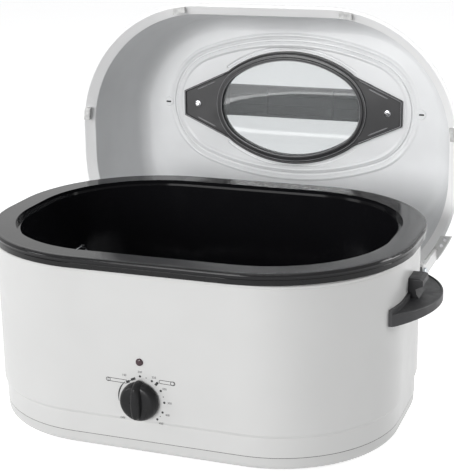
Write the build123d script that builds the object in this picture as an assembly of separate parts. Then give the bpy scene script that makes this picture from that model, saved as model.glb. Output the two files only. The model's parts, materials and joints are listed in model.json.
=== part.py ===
from build123d import *
from math import atan, atan2, degrees, radians, tan
import os

os.makedirs("parts", exist_ok=True)

# Electric roaster oven, millimetres. +X is the user's right, -Y the front, +Z up, the counter at Z 0.
# While it is being built, X 0 and Y 0 are the middle of the roasting pan. The last step slides the
# model along Y so that its origin is under the middle of its own box.

# Roasting pan: the outer edge of its black rim drives every other outline
pan_width = 500.0
pan_length = 370.0
pan_corner = 165.0
pan_top = 232.0
pan_depth = 172.0
pan_wall = 1.6
pan_slope = 0.045
pan_floor_round = 22.0
floor_rise = 1.5
rim_height = 6.0
rim_skirt = 2.6
step_inset = 27.0
step_depth = 6.0
cavity_inset = 32.0
seat_gap = 0.1

# Heating well that hangs under the pan
well_inset = 24.5
well_wall = 1.2
well_clearance = 7.0
well_skirt_height = 6.4
well_skirt_inset = 0.6

# Painted shell and the base pan below its seam
shell_inset = 9.0
shell_corner_ease = 14.0
shell_wall = 1.0
shell_step = 2.5
step_height = 47.0
seam_height = 24.0
seam_gap = 0.6
bead_drop = 14.0
bead_height = 4.0
bead_proud = 1.6
base_bottom = 9.0
base_wall = 1.4
base_round = 7.0
base_lip = 8.0
fit_gap = 0.3
vent_length = 42.0
vent_width = 4.0
vent_rows = 5
vent_pitch = 14.0

# Feet
foot_radius = 13.0
foot_x = 165.0
foot_y = 105.0
screw_radius = 2.0
screw_play = 0.3

# Heater and blanket between well and shell
heater_low = 96.0
heater_high = 128.0
heater_thick = 2.6
blanket_low = 134.0
blanket_high = 208.0
blanket_gap = 0.5

# Control knob, thermostat and lamp
control_x = -14.0
knob_drop = 158.0
lamp_drop = 114.0
knob_radius = 22.5
knob_skirt_radius = 24.0
knob_depth = 16.0
knob_skirt = 4.0
knob_gap = 1.0
fin_length = 40.0
fin_width = 12.0
fin_height = 11.0
shaft_radius = 3.0
run_gap = 0.05
thermostat_radius = 15.0
bracket_thick = 1.5
lens_radius = 4.2
lens_barrel = 3.2

# Side handles
handle_half = 78.0
handle_reach = 35.0
handle_drop = 66.0
handle_skirt = 14.0
handle_skirt_tip = 9.0
handle_plate = 3.5
handle_wall = 2.6
back_rise = 5.0
back_thick = 3.2
hook_half = 15.0
hook_height = 21.0
hook_reach = 16.5
screw_spacing = 60.0

# Cord bushing and terminal block
cord_x = 80.0
cord_height = 66.0
bushing_radius = 8.0
cord_bore = 3.8

# Lid
lid_wall = 1.2
lid_rest = 3.0
lid_opening = 2.5
lid_band = 3.5
lid_lip = 3.0
collar_height = 10.0
collar_inset = 11.0
dome_height = 129.0
dome_taper = 18.0
dome_round = 22.0
open_reach = 8.0
open_rise = 33.0
open_angle = 90.0

# Window in the lid, its ribs pressed in the dome and the vents
window_x = 101.0
window_y = 68.0
window_end = 54.0
window_shift = -37.0
glass_thick = 4.0
gasket_width = 4.8
frame_width = 10.0
frame_plate = 3.0
frame_step = 2.4
tip_x = 156.0
tip_y = 17.5
shoulder_x = 89.0
shoulder_y = 48.0
rib_section = 3.5
rib_proud = 1.6
rib_x = 170.0
rib_y = 93.0
rib_end = 76.0
rib_grow = 14.5
rib_sweep = 36.0
vent_x = 181.0
lid_screw_x = 136.0

# Lid handle
grip_rise = 44.0
grip_wall = 12.0
grip_half = 22.0
grip_foot = 150.0
grip_top = 116.0
grip_rib_x = 48.0

# Hinge
ear_outer = 14.5
ear_front = 24.0
ear_rear = 9.0
arm_line = 8.25
tab_thick = 3.0
arm_thick = 3.0
arm_half = 8.0
eye_radius = 11.0
pin_radius = 4.0
boss_radius = 12.0
hinge_gap = 0.3
rivet_radius = 1.5
rivet_hole = 1.7

# Rack
wire = 2.4
rack_inset = 62.0
rack_height = 16.0
rack_pitch = 24.0
loop_half = 48.0
loop_rise = 88.0

pan_outer_floor = pan_top - pan_depth
well_top = pan_top - rim_height - seat_gap
well_floor = pan_outer_floor - well_clearance
shell_front = pan_length / 2 - shell_inset
shell_side = pan_width / 2 - shell_inset
knob_z = pan_top - knob_drop
lamp_z = pan_top - lamp_drop
shelf_z = pan_top - handle_drop
lid_outer = lid_opening + lid_band
lid_low = pan_top + lid_rest
dome_top = lid_low + dome_height
grip_peak = dome_top + frame_plate + grip_rise


# Outlines: the pan's rounded rectangle, grown or shrunk all round

def pan_outline(grow):
    return (pan_width + 2 * grow, pan_length + 2 * grow, pan_corner + grow)


def body_outline(grow):
    size_x, size_y, corner = pan_outline(grow - shell_inset)
    return (size_x, size_y, corner - shell_corner_ease)


def slab(size, low, high):
    return Pos(0, 0, low) * extrude(RectangleRounded(*size), high - low)


def cone(size, low, high, inset):
    lean = degrees(atan(inset / (high - low)))
    return Pos(0, 0, low) * extrude(RectangleRounded(*size), high - low, taper=lean)


def ring(outer, inner, low, high):
    return slab(outer, low, high) - slab(inner, low - 1, high + 1)


def edges_at(solid, height):
    return solid.edges().filter_by(lambda e: abs(e.bounding_box().max.Z - height) < 0.01
                                   and abs(e.bounding_box().min.Z - height) < 0.01)


def box_from(low, high):
    size = [b - a for a, b in zip(low, high)]
    middle = [(a + b) / 2 for a, b in zip(low, high)]
    return Pos(*middle) * Box(*size)


def rod_x(radius, x0, x1, y, z):
    return Pos((x0 + x1) / 2, y, z) * Rot(0, 90, 0) * Cylinder(radius, abs(x1 - x0))


def rod_y(radius, y0, y1, x, z):
    return Pos(x, (y0 + y1) / 2, z) * Rot(90, 0, 0) * Cylinder(radius, abs(y1 - y0))


def rod_z(radius, z0, z1, x, y):
    return Pos(x, y, (z0 + z1) / 2) * Cylinder(radius, z1 - z0)


def group(solids):
    return Compound(children=[s for part in solids for s in part.solids()])


def other_side(part):
    return mirror(part, about=Plane.YZ)


# Four tangent arcs make the oval of the window and of everything that follows it

def oval_drop(half_x, half_y, end):
    side = half_x - end
    return (side ** 2 - (half_y - end) ** 2) / (2 * (half_y - end))


def oval_wire(half_x, half_y, end):
    side, drop = half_x - end, oval_drop(half_x, half_y, end)
    turn = degrees(atan2(drop, side))
    arcs = [CenterArc((side, 0), end, -turn, 2 * turn),
            CenterArc((0, -drop), half_y + drop, turn, 180 - 2 * turn),
            CenterArc((-side, 0), end, 180 - turn, 2 * turn),
            CenterArc((0, drop), half_y + drop, 180 + turn, 180 - 2 * turn)]
    return Wire(arcs)


def window_outline(grow):
    return (window_x + grow, window_y + grow, window_end + grow)


def oval(grow, low, high):
    return Pos(0, window_shift, low) * extrude(make_face(oval_wire(*window_outline(grow))), high - low)


def tube(path, radius):
    return sweep(Plane(origin=path @ 0, z_dir=path % 0) * Circle(radius), path=path)


# Lid hinge: a quarter turn about this line carries the closed lid to its open place behind the body

open_y = pan_length / 2 + open_reach
half_turn = tan(radians(open_angle / 2))
hinge_y = (open_y + open_rise / half_turn) / 2
hinge_z = pan_top + (open_rise - open_y / half_turn) / 2
hinge_axis = Axis((0, hinge_y, hinge_z), (1, 0, 0))


def open_lid(part):
    return part.rotate(hinge_axis, -open_angle)


# The arms and their rivets stand under two ears of the lid's band, clear of the pan's rim

def ear_x(y):
    corner_x, corner_y = pan_width / 2 - pan_corner, pan_length / 2 - pan_corner
    return corner_x + ((pan_corner + arm_line) ** 2 - (y - corner_y) ** 2) ** 0.5


arm_x = ear_x(hinge_y) - arm_thick / 2


# Fixed pieces

def outer_shell():
    top = well_top - pan_wall
    bevel = step_height + 4.0
    lower = slab(body_outline(-shell_step), seam_height + seam_gap, step_height)
    neck = cone(body_outline(-shell_step), step_height, bevel, -shell_step)
    upper = slab(body_outline(0), bevel, top)
    bead_low, bead_high = pan_top - bead_drop - bead_height, pan_top - bead_drop
    bead = slab(body_outline(bead_proud), bead_low, bead_high)
    bead = fillet(edges_at(bead, bead_low) + edges_at(bead, bead_high), 1.4)
    skin = lower + neck + upper + bead
    low_inside = slab(body_outline(-shell_step - shell_wall), seam_height, step_height)
    neck_inside = cone(body_outline(-shell_step - shell_wall), step_height, bevel, -shell_step)
    high_inside = slab(body_outline(-shell_wall), bevel, top + 1)
    skin = skin - (low_inside + neck_inside + high_inside)
    skin -= rod_y(shaft_radius + 1.0, -shell_front - 5, -shell_front + 5, control_x, knob_z)
    skin -= rod_y(lens_barrel + fit_gap / 2, -shell_front - 5, -shell_front + 5, control_x, lamp_z)
    skin -= rod_y(bushing_radius + fit_gap / 2, shell_front - 10, shell_front + 5, cord_x, cord_height)
    for x, y, z in handle_screw_places():
        skin -= rod_x(screw_radius + screw_play, x - 8, x + 4, y, z)
        skin -= rod_x(screw_radius + screw_play, -x - 4, -x + 8, y, z)
    return skin


def base_pan():
    tray = slab(body_outline(-3.0), base_bottom, seam_height)
    tray = fillet(edges_at(tray, base_bottom), base_round)
    inside = slab(body_outline(-3.0 - base_wall), base_bottom + base_wall, seam_height + 1)
    inside = fillet(edges_at(inside, base_bottom + base_wall), base_round - base_wall)
    lip_outer = -shell_step - shell_wall - fit_gap
    lip = ring(body_outline(lip_outer), body_outline(lip_outer - base_wall),
               seam_height - base_wall, seam_height + base_lip)
    tray = (tray - inside) + lip
    for row in range(vent_rows):
        y = (row - (vent_rows - 1) / 2) * vent_pitch
        for side in (-1, 1):
            slot = extrude(SlotOverall(vent_length, vent_width), base_wall * 3)
            tray -= Pos(side * 60, y, base_bottom - base_wall) * slot
    for x, y in foot_places():
        tray -= rod_z(screw_radius + screw_play, base_bottom - 1, base_bottom + base_wall + 1, x, y)
    return tray


def foot_places():
    return [(sx * foot_x, sy * foot_y) for sx in (-1, 1) for sy in (-1, 1)]


def foot(x, y):
    lean = degrees(atan(1.5 / base_bottom))
    body = Pos(x, y, 0) * extrude(Circle(foot_radius - 1.5), base_bottom, taper=-lean)
    body = fillet(edges_at(body, 0), 1.0)
    recess = rod_z(5.0, -1, 4.0, x, y)
    return body - recess - rod_z(screw_radius + screw_play, 0, base_bottom + 1, x, y)


def foot_screws():
    screws = []
    for x, y in foot_places():
        head = rod_z(4.2, 2.0, 3.95, x, y)
        shank = rod_z(screw_radius, 3.0, base_bottom + base_wall + 5.0, x, y)
        screws.append(head + shank)
    return group(screws)


def heating_well():
    floor_round = pan_floor_round + 4
    wall = slab(pan_outline(-well_inset + well_wall), well_floor - well_wall, well_top)
    wall = fillet(edges_at(wall, well_floor - well_wall), floor_round + well_wall)
    inside = slab(pan_outline(-well_inset), well_floor, well_top + 1)
    inside = fillet(edges_at(inside, well_floor), floor_round)
    flange = slab(pan_outline(-well_skirt_inset), well_top - pan_wall, well_top)
    skirt = ring(pan_outline(-well_skirt_inset), pan_outline(-well_skirt_inset - 2.4),
                 well_top - well_skirt_height, well_top)
    edge = fillet((flange + skirt).edges().filter_by(lambda e: abs(e.center().Z - well_top) < 0.01), 0.9)
    return (edge + wall) - inside


def heater_band():
    outer = -well_inset + well_wall
    band = ring(pan_outline(outer + heater_thick), pan_outline(outer + 0.05), heater_low, heater_high)
    gap = box_from((60, shell_front - 40, heater_low - 1), (68, shell_front, heater_high + 1))
    return band - gap


def insulation_blanket():
    outer = -shell_inset - shell_wall - blanket_gap - shell_corner_ease * 0.35
    inner = -well_inset + well_wall + blanket_gap
    return ring(pan_outline(outer), pan_outline(inner), blanket_low, blanket_high)


def thermostat_housing():
    front = -shell_front + shell_wall + bracket_thick + 0.1
    back = -pan_length / 2 + well_inset - well_wall - 0.4
    body = rod_y(thermostat_radius, front, back, control_x, knob_z)
    tabs = box_from((control_x - 4, front + 2, knob_z + 8), (control_x + 4, back, knob_z + 20))
    return (body + tabs) - rod_y(shaft_radius + run_gap, front - 1, back - 3, control_x, knob_z)


def thermostat_bracket():
    front = -shell_front + shell_wall + 0.05
    plate = box_from((control_x - 24, front, knob_z - 13),
                     (control_x + 24, front + bracket_thick, knob_z + 13))
    plate = fillet(plate.edges().filter_by(Axis.Y), 6.0)
    return plate - rod_y(shaft_radius + 0.8, front - 1, front + bracket_thick + 1, control_x, knob_z)


def indicator_lens():
    dome = rod_y(lens_radius, -shell_front - 2.4, -shell_front - 0.05, control_x, lamp_z)
    dome = fillet(dome.edges().filter_by(lambda e: e.center().Y < -shell_front - 2), 2.0)
    return dome + rod_y(lens_barrel, -shell_front - 0.5, -shell_front + shell_wall + 4, control_x, lamp_z)


def lamp_holder():
    front = -shell_front + shell_wall + 0.1
    back = -shell_front + shell_wall + 9
    socket = rod_y(5.2, front, back, control_x, lamp_z)
    return socket - rod_y(lens_barrel + 0.1, front - 1, front + 4.2, control_x, lamp_z)


def terminal_block():
    low = base_bottom + base_wall
    block = box_from((cord_x - 20, 118, low), (cord_x + 20, 136, low + 15))
    for i in range(3):
        block -= rod_z(3.0, low + 9, low + 16, cord_x - 13 + 13 * i, 127)
    return block


def cord_bushing():
    face = shell_front
    sleeve = rod_y(bushing_radius, face - 5, face + 4, cord_x, cord_height)
    collar = rod_y(bushing_radius + 3, face + 0.05, face + 4, cord_x, cord_height)
    collar = fillet(collar.edges().filter_by(lambda e: e.center().Y > face + 3), 1.5)
    lock = rod_y(bushing_radius + 2.2, face - shell_wall - 4, face - shell_wall - 0.05, cord_x, cord_height)
    return (sleeve + collar + lock) - rod_y(cord_bore, face - 8, face + 6, cord_x, cord_height)


# Side handles: a crescent shelf with a skirt, a back rib along the shell and an upright hook

def handle_plan(inset):
    reach = shell_side + handle_reach - inset
    half = handle_half - inset
    chord = shell_side - 12
    edge = shell_side - 3
    sides = [Line((chord, -half), (edge, -half)), ThreePointArc((edge, -half), (reach, 0), (edge, half)),
             Line((edge, half), (chord, half)), Line((chord, half), (chord, -half))]
    return make_face(Wire(sides))


def handle_screw_places():
    return [(shell_side, side * screw_spacing / 2, shelf_z - 8.0) for side in (-1, 1)]


def handle_right():
    skirt = Pos(0, 0, shelf_z - handle_skirt) * extrude(handle_plan(0), handle_skirt)
    skirt = fillet(edges_at(skirt, shelf_z).sort_by(Axis.X)[-1:], 1.2)
    hollow = extrude(handle_plan(handle_wall), handle_skirt + 1 - handle_plate)
    hollow = Pos(0, 0, shelf_z - handle_skirt - 1) * hollow
    tray = Pos(0, 0, shelf_z - 1.0) * extrude(handle_plan(handle_wall), 3)
    tip = shell_side + handle_reach + 1
    low = shelf_z - handle_skirt
    under = Plane.XZ * Polyline((shell_side, low - 2), (tip, low - 2), (tip, shelf_z - handle_skirt_tip),
                                (shell_side, low), close=True)
    under = extrude(make_face(under), handle_half + 5, both=True)
    shelf = skirt - hollow - tray - under
    back = ring(body_outline(back_thick), body_outline(0.05), shelf_z - handle_skirt, shelf_z + back_rise)
    back = back & box_from((0, -handle_half, 0), (pan_width, handle_half, pan_top))
    outline = [(-6, -1.5), (13, -1.5), (9.5, 3), (8.5, 9), (hook_reach, hook_height - 8),
               (hook_reach, hook_height - 2), (hook_reach - 4, hook_height), (-6, hook_height)]
    hook = Plane.XZ * Polyline(*[(shell_side + x, shelf_z + z) for x, z in outline], close=True)
    hook = extrude(make_face(hook), hook_half, both=True)
    hook = fillet(hook.edges().filter_by(Axis.X).sort_by(Axis.Z)[-2:], 2.0)
    bosses = [rod_x(4.6, x - 4, x + 13, y, z) for x, y, z in handle_screw_places()]
    part = shelf + back + hook
    for boss in bosses:
        part += boss
    part -= slab(body_outline(0.05), 0, pan_top)
    for x, y, z in handle_screw_places():
        part -= rod_x(screw_radius + screw_play, x - 5, x + 11, y, z)
    return part


def handle_screws():
    screws = []
    for x, y, z in handle_screw_places():
        inside = x - shell_wall - 0.05
        screw = rod_x(4.0, inside - 2.2, inside, y, z) + rod_x(screw_radius, inside - 1, x + 10, y, z)
        screws += [screw, other_side(screw)]
    return group(screws)


# Control knob

def control_shaft():
    inner = -pan_length / 2 + well_inset - well_wall - 5
    outer = -shell_front - knob_gap - knob_depth + 4
    rod = rod_y(shaft_radius, outer, inner, control_x, knob_z)
    flat = box_from((control_x - 5, outer - 1, knob_z + 2.1), (control_x + 5, outer + 12, knob_z + 5))
    return rod - flat


def control_knob():
    back = -shell_front - knob_gap
    skirt = rod_y(knob_skirt_radius, back - knob_skirt, back, control_x, knob_z)
    skirt = fillet(skirt.edges().filter_by(lambda e: e.center().Y < back - 1), 1.2)
    cup = rod_y(knob_radius, back - knob_depth, back - 1, control_x, knob_z)
    cup = fillet(cup.edges().filter_by(lambda e: e.center().Y < back - knob_depth + 1), 2.5)
    nose = Plane.XZ * Polyline((-5, knob_skirt_radius - 2.5), (5, knob_skirt_radius - 2.5),
                               (0, knob_skirt_radius + 3.5), close=True)
    nose = Pos(control_x, back, knob_z) * extrude(make_face(nose), knob_skirt)
    half = fin_length / 2
    lens = Wire([ThreePointArc((0, -half), (fin_width / 2, 0), (0, half)),
                 ThreePointArc((0, half), (-fin_width / 2, 0), (0, -half))])
    fin = extrude(make_face(lens), fin_height + 2, taper=6)
    fin = Pos(control_x, back - knob_depth + 2, knob_z) * Rot(90, 0, 0) * fin
    knob = skirt + cup + nose + fin
    inner_depth = knob_depth - 3
    hollow = rod_y(knob_radius - 2.5, back - inner_depth, back + 1, control_x, knob_z)
    hub = rod_y(shaft_radius + 3.5, back - inner_depth - 1, back, control_x, knob_z)
    socket = rod_y(shaft_radius + run_gap, back - inner_depth + 0.6, back + 1, control_x, knob_z)
    socket -= box_from((control_x - 5, back - knob_depth, knob_z + 2.2),
                       (control_x + 5, back - 4, knob_z + 5))
    return (knob - hollow) + (hub - socket)


# Roasting pan and rack

def roasting_pan():
    skirt_top = slab(pan_outline(0), pan_top - rim_height, pan_top)
    skirt_top = fillet(edges_at(skirt_top, pan_top), 2.2)
    under = slab(pan_outline(-rim_skirt), pan_top - rim_height - 1, pan_top - pan_wall)
    step_outer = slab(pan_outline(-step_inset + pan_wall), pan_top - step_depth - pan_wall,
                      pan_top - pan_wall + 0.4)
    step_inner = slab(pan_outline(-step_inset), pan_top - step_depth, pan_top + 1)
    depth = pan_depth - step_depth
    lean = depth * pan_slope
    floor_size = pan_outline(-cavity_inset - lean)
    outer_size = pan_outline(-cavity_inset - lean + pan_wall)
    slope = degrees(atan(pan_slope))
    outer = Pos(0, 0, pan_outer_floor) * extrude(RectangleRounded(*outer_size), depth, taper=-slope)
    outer = fillet(edges_at(outer, pan_outer_floor), pan_floor_round + pan_wall)
    inner_low = pan_outer_floor + pan_wall
    inner = Pos(0, 0, inner_low) * extrude(RectangleRounded(*floor_size), depth, taper=-slope)
    inner = fillet(edges_at(inner, inner_low), pan_floor_round)
    raised = slab(pan_outline(-cavity_inset - lean - 40), pan_outer_floor - 1, pan_outer_floor + floor_rise)
    boss = slab(pan_outline(-cavity_inset - lean - 40 - pan_wall), pan_outer_floor + 0.5,
                pan_outer_floor + floor_rise + pan_wall)
    rim = skirt_top - under + step_outer
    return rim + outer - step_inner - inner - raised + boss


# The rack is a hoop under a row of cross wires, with two bent foot wires and a lifting loop at each end

rack_x, rack_y, rack_corner = pan_width / 2 - rack_inset, pan_length / 2 - rack_inset, pan_corner - rack_inset
foot_wire_z = pan_outer_floor + floor_rise + pan_wall + wire + 0.3
bed_z = foot_wire_z + rack_height


def rack_hoop(radius):
    return tube(Pos(0, 0, bed_z) * RectangleRounded(2 * rack_x, 2 * rack_y, rack_corner).wire(), radius)


def roasting_rack():
    wires = []
    count = int(rack_x * 0.94 // rack_pitch)
    for i in range(-count, count + 1):
        over = max(0.0, abs(i) * rack_pitch - (rack_x - rack_corner))
        reach = rack_y - rack_corner + (rack_corner ** 2 - over ** 2) ** 0.5
        wires.append(rod_y(wire, -reach, reach, i * rack_pitch, bed_z + wire + 0.5))
    for y in (52 - rack_y, rack_y - 52):
        over = abs(y) - (rack_y - rack_corner)
        end = rack_x - rack_corner + (rack_corner ** 2 - over ** 2) ** 0.5
        bends = FilletPolyline((-end, bed_z), (-end + 14, bed_z), (-end + 24, foot_wire_z),
                               (end - 24, foot_wire_z), (end - 14, bed_z), (end, bed_z), radius=5)
        wires.append(tube(Wire((Pos(0, y, 0) * (Plane.XZ * bends)).edges()), wire))
    return rack_hoop(wire + 0.4) + wires


def rack_loop_right():
    top = bed_z + loop_rise
    bends = FilletPolyline((-loop_half, bed_z), (-loop_half, top), (loop_half, top), (loop_half, bed_z),
                           radius=12)
    loop = tube(Wire((Pos(rack_x - 4, 0, 0) * (Plane.YZ * bends)).edges()), wire)
    return loop - rack_hoop(wire + 0.45) - slab((pan_width, pan_length, pan_corner), 0, bed_z)


# Lid pieces, all drawn closed on the pan

def dome_solid(inset, top, round_radius):
    base = pan_outline(lid_opening - collar_inset + inset)
    low = lid_low + collar_height
    lean = dome_taper / (dome_height - collar_height) * (top - low)
    body = cone(base, low, top, lean)
    return fillet(edges_at(body, top), round_radius)


# One rib goes right round the window. Two short ones follow its frame above and below and end in
# half balls, so that nothing stands proud where the handle's base lies on the dome.

def ribs(radius):
    around = oval_wire(rib_x, rib_y, rib_end)
    short = window_outline(rib_grow)
    drop = oval_drop(*short)
    parts = [tube(around, radius)]
    for centre, start in ((-drop, 90 - rib_sweep), (drop, 270 - rib_sweep)):
        arc = Wire([CenterArc((0, centre), short[1] + drop, start, 2 * rib_sweep)])
        parts += [tube(arc, radius), Pos(arc @ 0) * Sphere(radius), Pos(arc @ 1) * Sphere(radius)]
    return [Pos(0, window_shift, dome_top + rib_proud - rib_section) * part for part in parts]


def lid_dome():
    collar = cone(pan_outline(lid_opening + lid_wall), lid_low, lid_low + collar_height, collar_inset)
    band = slab(pan_outline(lid_outer), lid_low, lid_low + lid_wall)
    lip = ring(pan_outline(lid_outer), pan_outline(lid_outer - lid_wall), lid_low, lid_low + lid_lip)
    ears = ring(pan_outline(ear_outer), pan_outline(lid_outer - 1), lid_low, lid_low + lid_wall)
    ears &= box_from((-pan_width, hinge_y - ear_front, 0), (pan_width, hinge_y + ear_rear, dome_top))
    outer = dome_solid(lid_wall, dome_top, dome_round) + ribs(rib_section) + collar + band + lip + ears
    inner = dome_solid(0, dome_top - lid_wall, dome_round - lid_wall) + ribs(rib_section - lid_wall)
    inner += cone(pan_outline(lid_opening), lid_low - 0.001, lid_low + collar_height, collar_inset)
    part = outer - inner
    part -= oval(0, dome_top - 5, dome_top + 5)
    for side in (-1, 1):
        slot = extrude(Rot(0, 0, 90) * SlotOverall(11, 2.6), 30)
        part -= Pos(side * vent_x, window_shift, dome_top - 20) * slot
        part -= rod_z(2.3, dome_top - 5, dome_top + 5, side * lid_screw_x, window_shift)
        for x, y in rivet_places():
            part -= rod_z(rivet_hole, lid_low - 1, lid_low + 2, side * x, y)
    return part


def bracket_face(inset):
    tip, edge = tip_x - inset, tip_y - inset * 0.6
    shoulder = shoulder_y - inset * 1.1
    points = [(-tip, -edge), (-shoulder_x, -shoulder), (shoulder_x, -shoulder), (tip, -edge),
              (tip, edge), (shoulder_x, shoulder), (-shoulder_x, shoulder), (-tip, edge)]
    return make_face(Polyline(*points, close=True))


def bracket_plate(inset, low, high):
    return Pos(0, window_shift, low) * extrude(bracket_face(inset), high - low)


def window_frame():
    top = dome_top - lid_wall
    plate = bracket_plate(0, top - frame_plate, top) + oval(frame_width, top - frame_plate, top)
    border = bracket_plate(0, top - frame_plate - 1.6, top) - bracket_plate(3.2, top - 20, top + 1)
    step = oval(frame_width - 3.5, top - frame_plate - frame_step, top)
    crown = oval(frame_width - 8.5, top - frame_plate - 2 * frame_step, top)
    part = plate + (border - oval(frame_width - 4, top - 20, top + 1)) + step + crown
    part -= oval(-gasket_width - 6.5, top - 20, top + 1)
    part -= oval(0.3, top - frame_plate, top + 1)
    lean = degrees(atan2(shoulder_y - tip_y, tip_x - shoulder_x))
    for side in (-1, 1):
        part -= rod_z(2.3, top - 20, top + 1, side * lid_screw_x, window_shift)
        for rise in (-1, 1):
            place = Pos(side * 117, window_shift + rise * 26, top - frame_plate - 0.9)
            part += place * Rot(0, 0, -side * rise * lean) * Box(31, 1.6, 1.8)
    return part


def window_gasket():
    low = dome_top - lid_wall - frame_plate + 0.05
    high = dome_top + 1.2
    outer = oval(-0.3, low, high) - oval(-gasket_width - 2.5, low - 1, high + 1)
    return outer - oval(-gasket_width, low + 0.8, low + 0.8 + glass_thick + 0.1)


def window_glass():
    low = dome_top - lid_wall - frame_plate + 0.9
    return oval(-gasket_width - 0.05, low, low + glass_thick)


def handle_base():
    low = dome_top + 0.05
    high = low + frame_plate
    plate = bracket_plate(0, low, high) + oval(frame_width, low, high)
    plate += oval(frame_width - 4, low, high + 1.8)
    plate -= oval(-gasket_width - 4.5, low - 1, high + 5)
    plate -= oval(0.3, low - 1, low + 1.4)
    for side in (-1, 1):
        plate -= rod_z(2.3, low - 1, high + 1, side * lid_screw_x, window_shift)
    return plate


def lid_handle():
    low = dome_top + frame_plate + 0.1
    top = low + grip_rise
    bend = 26.0
    outer = FilletPolyline((-grip_foot, low), (-grip_top, top), (grip_top, top), (grip_foot, low),
                           radius=bend)
    foot_in = grip_foot - grip_wall * 2.2
    inner_top = grip_top - grip_wall * 0.9
    inner = FilletPolyline((-foot_in, low), (-inner_top, top - grip_wall), (inner_top, top - grip_wall),
                           (foot_in, low), radius=bend - 10)
    soles = [Line((-grip_foot, low), (-foot_in, low)), Line((foot_in, low), (grip_foot, low))]
    face = make_face(Wire([*outer.edges(), soles[0], *inner.edges(), soles[1]]))
    bar = extrude(Plane.XZ * face, grip_half, both=True)
    bar = fillet(bar.edges().filter_by(lambda e: e.center().Z > top - 1 and e.length > 100), 5.0)
    skin = 3.0
    sole_in, top_half = grip_foot - skin * 1.3, grip_top - skin * 0.6
    top_in = FilletPolyline((-sole_in, low), (-top_half, top - skin), (top_half, top - skin), (sole_in, low),
                            radius=bend - skin)
    pocket = make_face(Wire([*top_in.edges(), Line((sole_in, low), (-sole_in, low))]))
    pocket = extrude(Plane.XZ * pocket, grip_half - skin, both=True)
    pocket &= box_from((-inner_top, -grip_half, low + 6), (inner_top, grip_half, top))
    part = bar - pocket
    for x in (-grip_rib_x, grip_rib_x):
        part += box_from((x - 1.4, 1 - grip_half, top - grip_wall + 1), (x + 1.4, grip_half - 1, top - 1))
    for y in (-7, 7):
        part += box_from((4 - inner_top, y - 0.8, top - grip_wall + 4), (inner_top - 4, y + 0.8, top - 1))
    for side in (-1, 1):
        part -= rod_z(2.05, low - 1, low + 12, side * lid_screw_x, 0)
    return Pos(0, window_shift, 0) * part


def lid_screws():
    screws = []
    face = dome_top - lid_wall - frame_plate
    for side in (-1, 1):
        x = side * lid_screw_x
        head = fillet(rod_z(5.0, face - 2.6, face - 0.05, x, window_shift).edges().sort_by(Axis.Z)[:1], 1.2)
        screws.append(head + rod_z(2.0, face - 1, dome_top + frame_plate + 11, x, window_shift))
    return group(screws)


# Hinge pieces on the right; the left ones are their mirror

def hinge_bracket_right():
    boss = rod_x(boss_radius, shell_side - 60, arm_x - hinge_gap, hinge_y, hinge_z)
    flange = ring(body_outline(2.2), body_outline(0.15), hinge_z - 24, hinge_z + 20)
    flange &= box_from((0, hinge_y - 20, 0), (pan_width, hinge_y + 30, pan_top))
    ledge = box_from((shell_side - 60, hinge_y + 14, hinge_z - arm_half - 9),
                     (arm_x + arm_thick + 1, hinge_y + 22, hinge_z - arm_half - 0.2))
    part = (boss + flange + ledge) - slab(body_outline(0.15), 0, pan_top)
    return part - rod_x(pin_radius + 0.02, shell_side - 60, arm_x + 5, hinge_y, hinge_z)


def hinge_pin_right():
    start = arm_x - 9.5
    end = arm_x + arm_thick + hinge_gap
    head = fillet(rod_x(7.0, end, end + 3, hinge_y, hinge_z).edges().sort_by(Axis.X)[-1:], 1.2)
    return rod_x(pin_radius, start, end + 1, hinge_y, hinge_z) + head


def hinge_arm_right():
    high = lid_low - 0.05
    plate = box_from((arm_x, hinge_y - arm_half, hinge_z), (arm_x + arm_thick, hinge_y + arm_half, high))
    plate += rod_x(eye_radius, arm_x, arm_x + arm_thick, hinge_y, hinge_z)
    tab = ring(pan_outline(ear_outer - 1.5), pan_outline(1.5), high - tab_thick, high)
    tab &= box_from((0, hinge_y - ear_front, 0), (pan_width, hinge_y + ear_rear, high))
    part = plate + tab
    part -= rod_x(pin_radius + run_gap, arm_x - 1, arm_x + 5, hinge_y, hinge_z)
    for x, y in rivet_places():
        part -= rod_z(rivet_hole, high - tab_thick - 1, high + 1, x, y)
    return part


def rivet_places():
    return [(ear_x(y), y) for y in (hinge_y - 12, hinge_y - 20)]


def arm_rivets():
    rivets = []
    tab_low = lid_low - 0.05 - tab_thick
    for x, y in rivet_places():
        shank = rod_z(rivet_radius, tab_low - 0.5, lid_low + lid_wall + 0.5, x, y)
        upper = rod_z(2.2, lid_low + lid_wall + 0.05, lid_low + lid_wall + 1.2, x, y)
        lower = rod_z(2.2, tab_low - 1.0, tab_low - 0.05, x, y)
        rivet = shank + upper + lower
        rivets += [rivet, other_side(rivet)]
    return group(rivets)


def lid_bumpers():
    inside = pan_outline(lid_opening - fit_gap)
    under = cone(inside, lid_low, lid_low + collar_height, collar_inset)
    under += slab(inside, pan_top + fit_gap, lid_low)
    under &= slab(pan_outline(5), pan_top + fit_gap, lid_low + 4)
    under -= slab(pan_outline(-5.5), pan_top - 1, lid_low + 10)
    pads = []
    for x in (-110, 110):
        pads.append(under & box_from((x - 8, -pan_length, 0), (x + 8, 0, dome_top)))
    for side in (-1, 1):
        low, high = sorted((0, side * pan_width))
        pads.append(under & box_from((low, -48, 0), (high, -32, dome_top)))
    return group(pads)


def save(name, part):
    export_step(Pos(0, -middle_y, 0) * part, f"parts/{name}.step")


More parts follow.
